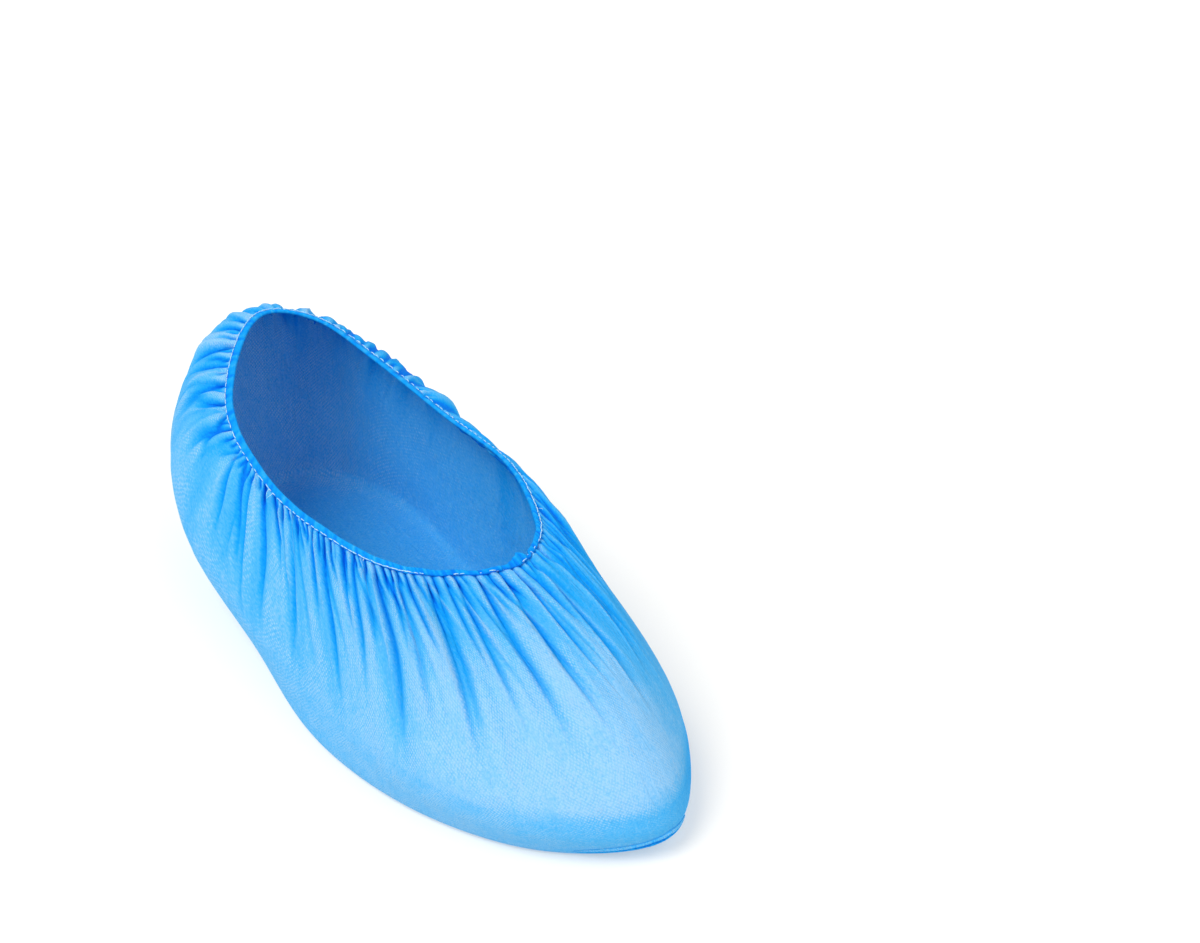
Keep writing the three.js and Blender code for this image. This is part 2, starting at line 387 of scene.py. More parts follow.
@dataclass(frozen=True)
class Gathers:
    """All the valleys of the cloth, how they shape it, and how they deepen its blue, with painted shade and
    painted highlights.

    Attributes:
        row: The even row of short gathers that the stitching makes right under the hem.
        layers: Longer sets that grow out of that row; a negative depth makes ridges.
        at_hem: Half width in millimetres of every valley at the hem.
        perimeter: Length round the wall, in millimetres, that a turn stands for where folds are measured.
        ramp: Share of a valley's length over which it deepens from its lower end.
        tip: Width of a valley's lower end, as a share of its full width.
        hem_zone: Share of the wall's height from which a valley takes the width that it has at the hem.
        pinch: How strongly cloth is drawn sideways into a valley.
        crest: Height of the crest beside a leaning valley's steep side, as a share of its depth.
        crest_at: How many half widths beside the valley that crest runs.
        crest_spread: How wide it is, in half widths of the valley.
        roundness: Power of the fall of a valley's side; 2 would be a plain bell.
        tint_depth: Depth in millimetres from which a valley has its full deeper blue and painted shade.
        core_layers_and_shade: Deeper blue of layered cloth at the bottom of such a valley, with painted shade
            there.
        core_power: Power of the fall of that blue and shade on the gentle side, and on the steep one.
        crest_highlight: How much paler its crest is, a painted highlight.
        ridge_highlight: How much paler a ridge is than the cloth beside it, a painted highlight.
        steepest: How many half widths deep a valley can be.
        deepest: Depth in millimetres that valleys which meet don't pass.
    """

    row: GatherLayer = GatherLayer(122, 2.2, 1.4, 12.0, 0.45, 37, even=True)
    layers: tuple = (
        GatherLayer(24, 2.8, 2.8, 46.0, 0.3, 11, 0.556, 0.884),
        GatherLayer(38, 1.8, 1.5, 24.0, 0.4, 23),
        GatherLayer(40, -0.8, 1.1, 46.0, 0.4, 47),
        GatherLayer(34, 0.9, 1.3, 52.0, 0.4, 41),
        GatherLayer(30, 0.6, 5.0, 80.0, 0.15, 53),
    )
    perimeter: float = 560.0
    ramp: float = 0.55
    tip: float = 0.42
    hem_zone: float = 0.82
    pinch: float = 0.5
    at_hem: float = 1.05
    crest: float = 0.34
    crest_at: float = 1.9
    crest_spread: float = 0.6
    roundness: float = 1.6
    tint_depth: float = 2.3
    core_layers_and_shade: float = 0.85
    core_power: tuple = (1.9, 3.0)
    crest_highlight: float = 0.12
    ridge_highlight: float = 0.15
    steepest: float = 1.6
    deepest: float = 4.5

    def folds(self, shape: WornShape) -> list[Fold]:
        """All folds, each of them starting in a gather of the row at the hem.

        Args:
            shape: The smooth worn shape that they run down.

        Returns:
            The row's own gathers first, then the longer folds.
        """
        row = self.row.folds(shape)
        slots = np.array([fold.turn for fold in row])
        longer = [Fold(*fields) for fields in LONG_FOLDS]
        for layer in self.layers:
            longer.extend(layer.folds(shape))
        seated = []
        for fold in longer:
            apart = from_toe(slots - fold.turn)
            nearest = float(apart[np.argmin(np.abs(apart))])
            seated.append(replace(fold, turn=fold.turn + nearest) if fold.depth > 0 else fold)
        return row + seated

    def valleys(self, shape: WornShape, turn: np.ndarray, height: np.ndarray) -> tuple:
        """How the valleys move each point of the cloth.

        Args:
            shape: The smooth worn shape.
            turn: Turn of each point on the wall.
            height: Share of the height of each point.

        Returns:
            Depths in metres, sideways shifts in metres towards a larger turn, and how much deeper the blue
            is: from about
            0 on the crests, under painted highlights, to 1 in the deepest creases, layered cloth under
            painted shade.
        """
        depth = np.zeros_like(turn)
        shift = np.zeros_like(turn)
        light = np.ones_like(turn)
        ridge = np.zeros_like(turn)
        for fold in self.folds(shape):
            near = np.nonzero(height > fold.end)[0]
            share = (height[near] - fold.end) / (1 - fold.end)
            grown = smooth_step(share, 0.0, self.ramp)
            path = fold.low_turn + (fold.turn - fold.low_turn) * share
            path += fold.bend * np.sin(math.pi * share)
            away = from_toe(turn[near] - path) * self.perimeter
            width = fold.width * (self.tip + (1 - self.tip) * smooth_step(share, 0.0, 0.5))
            near_hem = smooth_step(height[near], self.hem_zone, 1.0)
            width += (self.at_hem * self.perimeter * MM / shape.rim_pace(fold.turn) - width) * near_hem
            steep = away * fold.lean > 0
            side = np.where(steep, 1 - 0.5 * abs(fold.lean), 1 + 0.5 * abs(fold.lean))
            across = away / (width * side)
            bell = np.exp(-np.abs(across) ** self.roundness) * grown
            deep = np.minimum(abs(fold.depth), self.steepest * width)
            shift[near] -= self.pinch * np.minimum(deep, width) * MM * bell * np.clip(across, -1.5, 1.5)
            if fold.depth < 0:
                depth[near] -= deep * MM * bell
                ridge[near] = np.maximum(ridge[near], bell)
                continue
            beside = hump(np.abs(across), self.crest_at, self.crest_spread) * grown * steep * abs(fold.lean)
            depth[near] += deep * MM * (bell - self.crest * (1 - 0.8 * near_hem) * beside)
            # The valley's core gets the deeper blue of layered cloth and painted shade; the crest beside its
            # steep side gets a painted highlight.
            tinted = min(fold.depth / self.tint_depth, 1.0)
            power = np.where(steep, self.core_power[1], self.core_power[0])
            core = np.exp(-np.abs(across) ** power) * grown**1.7
            light[near] *= 1 - tinted * (self.core_layers_and_shade * core - self.crest_highlight * beside)
        limit = self.deepest * MM
        depth = np.where(depth > 0, limit * np.tanh(depth / limit), depth)
        # Ridges get a painted highlight.
        fold_layers_and_shading = (1 - light) * (1 - 0.75 * ridge) - self.ridge_highlight * ridge
        return depth, shift, fold_layers_and_shading


# Node groups for effects that several finishes share


def socket(group: bpy.types.NodeTree, name: str, kind: str, way: str, value=None) -> None:
    """Adds a socket to a node group.

    Args:
        group: The node group.
        name: Name of the socket.
        kind: Type of the socket, such as NodeSocketFloat.
        way: INPUT or OUTPUT.
        value: Value when nothing is linked to it.
    """
    made = group.interface.new_socket(name=name, in_out=way, socket_type=kind)
    if value is not None:
        made.default_value = value


def math_node(tree: bpy.types.NodeTree, operation: str, *inputs) -> bpy.types.NodeSocket:
    """Makes a Math node.

    Args:
        tree: Node tree that it goes into.
        operation: The node's operation.
        inputs: A socket or a number for each input.

    Returns:
        The node's output.
    """
    node = tree.nodes.new("ShaderNodeMath")
    node.operation = operation
    for slot_in, value in zip(node.inputs, inputs):
        if isinstance(value, bpy.types.NodeSocket):
            tree.links.new(value, slot_in)
        else:
            slot_in.default_value = value
    return node.outputs[0]


def noise(
    tree: bpy.types.NodeTree,
    vector: bpy.types.NodeSocket,
    scale: float,
    detail: float,
    roughness: float = 0.5,
) -> bpy.types.NodeSocket:
    """Makes a Noise texture.

    Args:
        tree: Node tree that it goes into.
        vector: Where it is looked up.
        scale: Its cells for each unit of the vector.
        detail: Its octaves.
        roughness: How strong the finer octaves are.

    Returns:
        The node's factor.
    """
    node = tree.nodes.new("ShaderNodeTexNoise")
    for name, value in (("Scale", scale), ("Detail", detail), ("Roughness", roughness)):
        node.inputs[name].default_value = value
    tree.links.new(vector, node.inputs["Vector"])
    return node.outputs["Fac"]


def add_bump(
    tree: bpy.types.NodeTree,
    shader: bpy.types.Node,
    height: bpy.types.NodeSocket,
    strength: float,
    reach: float,
) -> None:
    """Links a height to a shader's normal.

    Args:
        tree: Node tree of both.
        shader: The shader.
        height: The height from 0 to 1.
        strength: How strongly it acts.
        reach: Height in metres that 1 stands for.
    """
    bump = tree.nodes.new("ShaderNodeBump")
    bump.inputs["Strength"].default_value = strength
    bump.inputs["Distance"].default_value = reach
    tree.links.new(height, bump.inputs["Height"])
    tree.links.new(bump.outputs["Normal"], shader.inputs["Normal"])


@dataclass(frozen=True)
class Emboss:
    """The bonded points of spunbond nonwoven and the cloudiness of its fibres, as a node group.

    The group takes a vector in metres on the cloth and gives a height and two masks.

    Attributes:
        name: Name of the node group.
        tilt: Degrees by which the rows of points are turned on the cloth.
        waver: How many rows the points stray from their own.
        noises: Name of each noise, its scale for a metre of cloth, its detail and its roughness.
        crinkle_scale: Scale of the crinkles round the cover, down the wall and through the cloth.
        relief: Heights of the fibres, the crinkles and the crinkles' sharp lines, where the points have 1.
        mottle: What the grain and the clouds bring to the cloudiness, what the crinkles' sharp grooves bring
            as painted shade, and what is added.
    """

    name: str = "spunbond_emboss"
    tilt: float = 8.0
    waver: float = 1.7
    noises: tuple = (
        ("waver", 110.0, 4.0, 0.7),
        ("worn", 75.0, 2.0, 0.5),
        ("fibres", 2600.0, 3.0, 0.65),
        ("clouds", 240.0, 5.0, 0.6),
        ("grain", 850.0, 3.0, 0.7),
    )
    crinkle_scale: tuple = (300.0, 75.0, 1.0)
    relief: tuple = (0.55, 1.6, 3.4)
    mottle: tuple = (1.7, 0.55, -0.35, -0.63)

    def group(self) -> bpy.types.NodeTree:
        """The node group, made once."""
        if self.name in bpy.data.node_groups:
            return bpy.data.node_groups[self.name]
        group = bpy.data.node_groups.new(self.name, "ShaderNodeTree")
        socket(group, "Vector", "NodeSocketVector", "INPUT")
        socket(group, "Pitch", "NodeSocketFloat", "INPUT", 1.0 * MM)
        socket(group, "Crispness", "NodeSocketFloat", "INPUT", 1.0)
        for name in ("Height", "Points", "Clouds"):
            socket(group, name, "NodeSocketFloat", "OUTPUT")
        start = group.nodes.new("NodeGroupInput")
        end = group.nodes.new("NodeGroupOutput")
        cloth = start.outputs["Vector"]
        noises = {name: noise(group, cloth, *values) for name, *values in self.noises}
        lattice = self.lattice(group, start, noises["waver"])
        strength = math_node(group, "MULTIPLY_ADD", noises["worn"], 3.0, -1.0)
        strength.node.use_clamp = True
        points = math_node(group, "SMOOTH_MAX", lattice, 0.0, 0.3)
        points = math_node(group, "MULTIPLY", points, strength)
        points = math_node(group, "MULTIPLY", points, start.outputs["Crispness"])
        group.links.new(points, end.inputs["Points"])
        streaks = group.nodes.new("ShaderNodeMapping")
        streaks.inputs["Scale"].default_value = self.crinkle_scale
        group.links.new(cloth, streaks.inputs["Vector"])
        crinkles = noise(group, streaks.outputs["Vector"], 1.0, 4.0, 0.6)
        creased = math_node(group, "MULTIPLY_ADD", crinkles, 2.0, -1.0)
        creased = math_node(group, "ABSOLUTE", creased)
        of_fibres, of_crinkles, of_lines = self.relief
        rough = math_node(group, "MULTIPLY", creased, of_lines)
        rough = math_node(group, "MULTIPLY_ADD", noises["fibres"], of_fibres, rough)
        rough = math_node(group, "MULTIPLY_ADD", crinkles, of_crinkles, rough)
        group.links.new(math_node(group, "ADD", rough, points), end.inputs["Height"])
        of_grain, of_clouds, of_lines, added = self.mottle
        mottle_and_groove_shade = math_node(group, "MULTIPLY_ADD", noises["grain"], of_grain, added)
        mottle_and_groove_shade = math_node(group, "MULTIPLY_ADD", noises["clouds"], of_clouds, mottle_and_groove_shade)
        # The crinkles' sharp grooves are deeper blue: painted shade in the grooves of the relief.
        mottle_and_groove_shade = math_node(group, "MULTIPLY_ADD", creased, of_lines, mottle_and_groove_shade)
        group.links.new(mottle_and_groove_shade, end.inputs["Clouds"])
        return group

    def lattice(
        self, group: bpy.types.NodeTree, start: bpy.types.Node, waver: bpy.types.NodeSocket
    ) -> bpy.types.NodeSocket:
        """Two sets of crossing waves, whose product peaks at the bonded points.

        Args:
            group: The node group.
            start: Its input node.
            waver: Noise by which the rows stray.

        Returns:
            The product, from -1 to 1.
        """
        turned = group.nodes.new("ShaderNodeVectorRotate")
        turned.rotation_type = "Z_AXIS"
        turned.inputs["Angle"].default_value = math.radians(self.tilt)
        group.links.new(start.outputs["Vector"], turned.inputs["Vector"])
        apart = group.nodes.new("ShaderNodeSeparateXYZ")
        group.links.new(turned.outputs["Vector"], apart.inputs["Vector"])
        wave = math_node(group, "MULTIPLY", start.outputs["Pitch"], math.sqrt(2))
        waves = []
        for axis in ("X", "Y"):
            turns = math_node(group, "DIVIDE", apart.outputs[axis], wave)
            loose = math_node(group, "MULTIPLY_ADD", waver, self.waver, turns)
            angle = math_node(group, "MULTIPLY", loose, 2 * math.pi)
            waves.append(math_node(group, "SINE", angle))
        return math_node(group, "MULTIPLY", *waves)


# Finishes


def ramp(tree: bpy.types.NodeTree, factor: bpy.types.NodeSocket, stops: tuple) -> bpy.types.NodeSocket:
    """Makes a colour ramp.

    Args:
        tree: Node tree that it goes into.
        factor: What drives it.
        stops: Pairs of a place from 0 to 1 and a linear colour.

    Returns:
        The colour output.
    """
    node = tree.nodes.new("ShaderNodeValToRGB")
    tree.links.new(factor, node.inputs["Fac"])
    elements = node.color_ramp.elements
    elements[0].position, elements[0].color = stops[0][0], (*stops[0][1], 1.0)
    elements[1].position, elements[1].color = stops[-1][0], (*stops[-1][1], 1.0)
    for place, colour in stops[1:-1]:
        elements.new(place).color = (*colour, 1.0)
    return node.outputs["Color"]


def blank_material(name: str) -> tuple[bpy.types.Material, bpy.types.NodeTree, bpy.types.Node]:
    """A material with one Principled shader.

    Args:
        name: Name of the material.

    Returns:
        The material, its node tree and the shader node.
    """
    material = bpy.data.materials.new(name)
    material.use_nodes = True
    tree = material.node_tree
    return material, tree, tree.nodes["Principled BSDF"]


@dataclass(frozen=True)
class NonwovenFinish:
    """Thin blue spunbond nonwoven.

    Colours are linear. The cloth is palest where it is stretched over the toe's top, which also carries a
    painted highlight, and deepest where it is gathered and lies in several layers, which also carries painted
    shade.

    Attributes:
        name: Name of the material.
        taut_and_lit: Colour where the cloth is stretched over the toe's top, under its painted highlight.
        eased: Colour where it is less so.
        slack: Colour where it is loose.
        gathered: Colour in the gathers: layered cloth, with painted shade.
        folded: Colour in the deepest creases: layered cloth, with painted shade.
        places: Where those colours lie on the way from 0, stretched and under a painted highlight, to 1,
            folded and under painted shade.
        point_pitch: Distance from one bonded point to the next.
        bump: Strength of the relief.
        relief: Height of the relief.
        roughness: Roughness of the surface.
        sheen: How strongly it mirrors.
        crisp: Crispness of the points on stretched cloth, and how fast they fade in the gathers.
        cloudy: How strongly the cloudiness, with the painted shade in the crinkles' grooves, tints the cloth.
        pointed: How strongly the points do; they are paler.
    """

    name: str
    taut_and_lit: tuple = (0.31, 0.58, 0.86)
    eased: tuple = (0.088, 0.445, 0.84)
    slack: tuple = (0.014, 0.36, 0.83)
    gathered: tuple = (0.0005, 0.30, 0.83)
    folded: tuple = (0.0, 0.20, 0.79)
    places: tuple = (0.0, 0.35, 0.62, 0.82, 1.0)
    point_pitch: float = 1.2 * MM
    bump: float = 0.7
    relief: float = 0.25 * MM
    roughness: float = 0.75
    sheen: float = 0.08
    crisp: tuple = (1.3, -3.2)
    cloudy: float = 0.38
    pointed: float = -0.56

    def material(self) -> bpy.types.Material:
        """The finish as a material that reads the cloth's UV map and its tone attribute, deep, which carries
        painted light and shade.
        """
        material, tree, shader = blank_material(self.name)
        uv = tree.nodes.new("ShaderNodeUVMap")
        uv.uv_map = "cloth"
        emboss = tree.nodes.new("ShaderNodeGroup")
        emboss.node_tree = Emboss().group()
        emboss.inputs["Pitch"].default_value = self.point_pitch
        tree.links.new(uv.outputs["UV"], emboss.inputs["Vector"])
        deep = tree.nodes.new("ShaderNodeAttribute")
        deep.attribute_name = "deep"
        on_taut, fading = self.crisp
        crisp = math_node(tree, "MULTIPLY_ADD", deep.outputs["Fac"], fading, on_taut)
        crisp.node.use_clamp = True
        tree.links.new(crisp, emboss.inputs["Crispness"])
        clouds_and_groove_shade = math_node(tree, "MULTIPLY_ADD", emboss.outputs["Clouds"], self.cloudy, -0.06)
        speck = math_node(tree, "MULTIPLY_ADD", emboss.outputs["Points"], self.pointed, clouds_and_groove_shade)
        tone = math_node(tree, "ADD", deep.outputs["Fac"], speck)
        tone.node.use_clamp = True
        colours = (self.taut_and_lit, self.eased, self.slack, self.gathered, self.folded)
        base = ramp(tree, tone, tuple(zip(self.places, colours)))
        tree.links.new(base, shader.inputs["Base Color"])
        add_bump(tree, shader, emboss.outputs["Height"], self.bump, self.relief)
        shader.inputs["Roughness"].default_value = self.roughness
        shader.inputs["Specular IOR Level"].default_value = self.sheen
        return material


@dataclass(frozen=True)
class ThreadFinish:
    """Pale sewing thread with a light twist.

    Attributes:
        name: Name of the material.
        colour: Linear colour of the thread.
        shade: Linear colour between its strands.
        twist: Strands for each metre of thread.
    """

    name: str = "pale_thread"
    colour: tuple = (0.66, 0.86, 0.96)
    shade: tuple = (0.22, 0.60, 0.90)
    twist: float = 1500.0

    def material(self) -> bpy.types.Material:
        """The finish as a material on Object coordinates."""
        material, tree, shader = blank_material(self.name)
        place = tree.nodes.new("ShaderNodeTexCoord")
        twist = noise(tree, place.outputs["Object"], self.twist, 2.0)
        stops = ((0.35, self.shade), (0.65, self.colour))
        tree.links.new(ramp(tree, twist, stops), shader.inputs["Base Color"])
        add_bump(tree, shader, twist, 0.4, 0.1 * MM)
        shader.inputs["Roughness"].default_value = 0.6
        return material


@dataclass(frozen=True)
class FloorFinish:
    """Smooth pale studio floor, partly lit from below.

    Attributes:
        name: Name of the material.
        colour: Linear colour of the floor.
        glow: Strength of the light from below.
    """

    name: str = "studio_floor"
    colour: tuple = (0.67, 0.65, 0.61)
    glow: float = 0.34

    def material(self) -> bpy.types.Material:
        """The finish as a plain material."""
        material, _, shader = blank_material(self.name)
        shader.inputs["Base Color"].default_value = (*self.colour, 1.0)
        shader.inputs["Roughness"].default_value = 0.9
        shader.inputs["Specular IOR Level"].default_value = 0.1
        shader.inputs["Emission Color"].default_value = (1.0, 1.0, 1.0, 1.0)
        shader.inputs["Emission Strength"].default_value = self.glow
        return material


# Helpers that turn sheets and sections into pieces


def piece_from(bm: bmesh.types.BMesh, name: str, material: bpy.types.Material) -> bpy.types.Object:
    """Makes an object at the origin from a bmesh.

    Args:
        bm: The mesh under work, which is freed.
        name: Name of the object and its mesh.
        material: Finish of the piece.

    Returns:
        The object, linked to the scene.
    """
    for face in bm.faces:
        face.smooth = True
    mesh = bpy.data.meshes.new(name)
    bm.to_mesh(mesh)
    bm.free()
    mesh.materials.append(material)
    piece = bpy.data.objects.new(name, mesh)
    bpy.context.scene.collection.objects.link(piece)
    return piece


def closed_piece(bm: bmesh.types.BMesh, name: str, material: bpy.types.Material) -> bpy.types.Object:
    """Welds the edges at which a wrapped grid meets itself, and makes the piece.

    Args:
        bm: The mesh under work, which is freed.
        name: Name of the object and its mesh.
        material: Finish of the piece.

    Returns:
        The object, linked to the scene.
    """
    bmesh.ops.remove_doubles(bm, verts=bm.verts[:], dist=WELD)
    bmesh.ops.recalc_face_normals(bm, faces=bm.faces[:])
    return piece_from(bm, name, material)


def flat_grid(across: int, up: int) -> bmesh.types.BMesh:
    """A flat grid, one unit wide and tall.

    Args:
        across: Cells from side to side.
        up: Cells from bottom to top.

    Returns:
        The bmesh.
    """
    bm = bmesh.new()
    bmesh.ops.create_grid(bm, x_segments=across, y_segments=up, size=0.5)
    return bm


def grid_shares(bm: bmesh.types.BMesh) -> tuple[np.ndarray, np.ndarray]:
    """Each vertex's shares, from 0 to 1, of the way across and up its flat grid."""
    flat = np.array([vertex.co[:2] for vertex in bm.verts])
    return np.clip(flat[:, 0] + 0.5, 0, 1), np.clip(flat[:, 1] + 0.5, 0, 1)


def put(bm: bmesh.types.BMesh, points: np.ndarray) -> None:
    """Moves every vertex of a bmesh to its point."""
    for vertex, point in zip(bm.verts, points):
        vertex.co = point


def paint(bm: bmesh.types.BMesh, uv: np.ndarray, deep: np.ndarray, sole: tuple | None = None) -> None:
    """Gives each vertex its place on the cloth and how deep its blue is, painted light and shade included.

    Args:
        bm: The mesh, whose seam is still open.
        uv: Places on the cloth in metres.
        deep: From 0 where stretched and under a painted highlight to 1 where gathered and under painted
            shade.
        sole: Which vertices lie on the sole, and each one's place on the cloth for the faces that touch it.
    """
    on_sole, sole_uv = sole or (np.zeros(len(uv), bool), uv)
    uv_layer = bm.loops.layers.uv.new("cloth")
    deep_layer = bm.verts.layers.float.new("deep")
    for vertex, value in zip(bm.verts, deep):
        vertex[deep_layer] = value
    bm.verts.index_update()
    for face in bm.faces:
        at_sole = any(on_sole[vertex.index] for vertex in face.verts)
        places = sole_uv if at_sole else uv
        for loop in face.loops:
            loop[uv_layer].uv = places[loop.vert.index]


def declare(piece: bpy.types.Object, slot: Slot, *nodes: str) -> None:
    """Seats a piece on the cover's body, and hides the imported solids that it stands for."""
    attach(piece, BODY)
    if nodes:
        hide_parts(*nodes)


# Pieces


@dataclass(frozen=True)
class ClothTones:
    """How deep the blue of the worn cloth is, from 0 where it is palest to 1 where it lies folded over;
    painted light and shade are part of it.

    Attributes:
        taut_lit_turn: Turns from the toe at which the cloth is stretched most and its painted highlight is
            strongest.
        taut_lit_spread: How far that reaches, in turns, by the inner side and by the outer side.
        loose: Tone of loose cloth.
        loose_heel: How much paler it is beside the heel.
        inner: How much deeper the inner side is, which is turned from the light.
        crease: What a full crease adds on loose cloth: the deeper blue of layered cloth, and painted shade.
        crease_taut_lit: How much less that is on stretched cloth under the painted highlight.
        crease_petal: How much more it is right under the stitch line, away from the front, as painted shade
            in the slots.
        petal_highlight: How much paler the cloth is there between the creases, a painted highlight on the
            puffs.
        petal_reach: How far down from the stitch line that goes.
        gathered: What the band of gathers below it adds: layered cloth, with painted shade.
        low_wall_shade: Painted shade that the wall below the soft edge round the toe adds, where it turns
            down from the light.
        sole: Tone of the sole.
    """

    taut_lit_turn: float = 0.045
    taut_lit_spread: tuple = (0.10, 0.18)
    loose: float = 0.24
    loose_heel: float = 0.10
    inner: float = 0.10
    crease: float = 0.76
    crease_taut_lit: float = 0.24
    crease_petal: float = 0.26
    petal_highlight: float = 0.09
    petal_reach: float = 6 * MM
    gathered: float = 0.04
    low_wall_shade: float = 0.30
    sole: float = 0.35


@dataclass
class FabricBody:
    """The one sheet of nonwoven that makes sole, walls, toe and heel.

    Attributes:
        shape: The smooth worn shape.
        gathers: The valleys of the cloth.
        columns: Columns of cells round the cover; the gathered band under the hem has twice as many.
        band_rings: Rings of the gathered band under the hem.
        wall_rings: Rings of the wall below that band.
        sole_rings: Rings from the sole's edge to its middle.
        band: Share of the wall's height that the gathered band takes.
        lowest: Share of the wall's height at which the sole begins.
        thickness: Thickness of the sheet.
        tuck: How far the top edge goes up behind the hem.
        stitch_pinch: How far the stitch line draws the cloth in.
        stitch_zone: How far below the hem that begins to let go, and has let go.
        bulge: How far the cloth puffs out under the stitch line.
        bulge_zone: How far below the hem that begins to fade, and has faded.
        drawn_in: How far the small ridges right under the stitch line lie back.
        drawn_zone: How far below the hem that begins to fade, and has faded.
        cap_edge: How far the soft edge round the toe stands out.
        cap_climb: Climb at which that edge runs, and how fast it falls with the turns from the toe.
        wall_ease: Power by which the wall's rings lie closer towards the sole.
        band_ease: Power by which the gathered band's rings lie closer towards the hem.
        sole_ease: Power by which the sole's rings lie closer towards its edge.
        spine: How far the sole's middle line reaches towards toe and heel.
        edge_round: How far the sole's edge is rounded up from the floor.
        pattern_round: Length that the cloth's pattern takes for a whole turn.
        flat: Size of the flat sheet; not used.
        tones: How deep its blue is, painted light and shade included.
    """

    shape: WornShape
    gathers: Gathers
    columns: int = 900
    band_rings: int = 12
    wall_rings: int = 24
    sole_rings: int = 7
    band: float = 0.12
    lowest: float = 0.035
    thickness: float = 0.4 * MM
    tuck: float = 1.2 * MM
    stitch_pinch: float = 0.9 * MM
    stitch_zone: tuple = (0.7 * MM, 2.0 * MM)
    bulge: float = 1.5 * MM
    bulge_zone: tuple = (4 * MM, 40 * MM)
    drawn_in: float = 0.7 * MM
    drawn_zone: tuple = (4 * MM, 10 * MM)
    cap_edge: float = 0.9 * MM
    cap_climb: tuple = (0.385, 0.42)
    wall_ease: float = 0.9
    band_ease: float = 0.85
    sole_ease: float = 2.2
    spine: float = 0.55
    edge_round: float = 1.4 * MM
    pattern_round: float = 0.76
    flat: tuple = (0.40, 0.34)
    tones: ClothTones = ClothTones()

    def front(self, turn: np.ndarray) -> np.ndarray:
        """How far each turn belongs to the front, from 0 to 1."""
        return hump(from_toe(turn), 0.0, 0.13)

    def cap_line(self, turn: np.ndarray) -> np.ndarray:
        """Climb at which the soft edge round the toe runs."""
        at_toe, fall = self.cap_climb
        return at_toe - fall * np.clip(from_toe(turn), 0.0, 0.2)

    def wall_points(self, at_hem: np.ndarray, height: np.ndarray) -> tuple[np.ndarray, np.ndarray]:
        """Points of the gathered wall.

        Args:
            at_hem: Turn of each column at the hem.
            height: Shares of the height, 1 at the top edge behind the hem.

        Returns:
            The points, and how much the folds deepen each one's blue, with their painted shade and
            highlights, from 0 on a crest to 1 in a crease.
        """
        shape = self.shape
        turn = shape.turn_at(at_hem, height)
        lost = shape.hem_frame(turn)[3]
        climb = height * (1 - (shape.hem_reach(turn) - self.tuck) * lost)
        depth, shift, fold_layers_and_shading = self.gathers.valleys(shape, turn, height)
        out = shape.outward(turn, climb)
        along = shape.along(turn, climb)
        below = (1 - height) * shape.lengths(turn)
        under_hem = 1 - smooth_step(below, *self.stitch_zone)
        bulge = self.bulge * (1 - smooth_step(below, *self.bulge_zone))
        bulge = bulge - self.drawn_in * (1 - smooth_step(below, *self.drawn_zone))
        above = climb - self.cap_line(turn)
        ledge = smooth_step(above, -0.03, 0.01) * (1 - smooth_step(above, 0.04, 0.24))
        bulge = bulge + self.cap_edge * ledge * self.front(turn)
        inward = (depth - bulge) * (1 - under_hem)
        inward += (self.stitch_pinch + np.clip(0.3 * depth, -0.3 * MM, 0.4 * MM)) * under_hem
        points = shape.wall(turn, climb)
        sideways = shift * (1 - 0.6 * under_hem)
        points = points - out * inward[:, None] + along * sideways[:, None]
        return points, fold_layers_and_shading

    def sole_points(self, at_hem: np.ndarray, inset: np.ndarray) -> np.ndarray:
        """Points of the sole.

        Args:
            at_hem: Turn of each column at the hem.
            inset: Shares of the way from the sole's edge, 0, to its middle, 1.

        Returns:
            The points, rounded up from the floor at the edge.
        """
        turn = self.shape.turn_at(at_hem, np.zeros_like(at_hem))
        edge = self.shape.wall(turn, np.zeros_like(turn))
        middle = np.zeros_like(edge)
        middle[:, 1] = self.spine * edge[:, 1]
        points = edge + (middle - edge) * inset[:, None]
        points[:, 2] = self.edge_round * hump(inset, 0.0, 0.03)
        return points

    def sheet(self) -> tuple[bmesh.types.BMesh, np.ndarray, np.ndarray]:
        """The flat sheet, with finer cells where it is gathered.

        Returns:
            The bmesh, and each vertex's share round the cover and its level in rings from the sole's middle.
        """
        rings = self.band_rings + self.wall_rings + self.sole_rings
        bm = flat_grid(self.columns, rings)
        band_start = 0.5 - (self.band_rings + 0.01) / rings
        band = []
        for edge in bm.edges:
            low, high = sorted(vertex.co.y for vertex in edge.verts)
            if low > band_start and high - low < WELD:
                band.append(edge)
        bmesh.ops.subdivide_edges(bm, edges=band, cuts=1, use_grid_fill=True)
        round_share, up = grid_shares(bm)
        return bm, round_share, np.rint(up * rings)

    def height_at(self, level: np.ndarray) -> np.ndarray:
        """Share of the wall's height of each level of rings."""
        below = np.clip((level - self.sole_rings) / self.wall_rings, 0, 1)
        above = np.clip((level - self.sole_rings - self.wall_rings) / self.band_rings, 0, 1)
        plain = (1 - self.band - self.lowest) * below**self.wall_ease
        return self.lowest + plain + self.band * above**self.band_ease

    def tone(self, at_hem: np.ndarray, height: np.ndarray, fold_layers_and_shading: np.ndarray) -> np.ndarray:
        """How deep the blue of each point of the wall is, from 0 to 1, painted light and shade included.

        Args:
            at_hem: Turn of each column at the hem.
            height: Shares of the height.
            fold_layers_and_shading: Deeper blue of layered cloth in the creases, with painted shade there and
                painted highlights on crests and ridges.

        Returns:
            The depth of the colour.
        """
        tones = self.tones
        signed = from_toe(at_hem)
        front = self.front(at_hem)
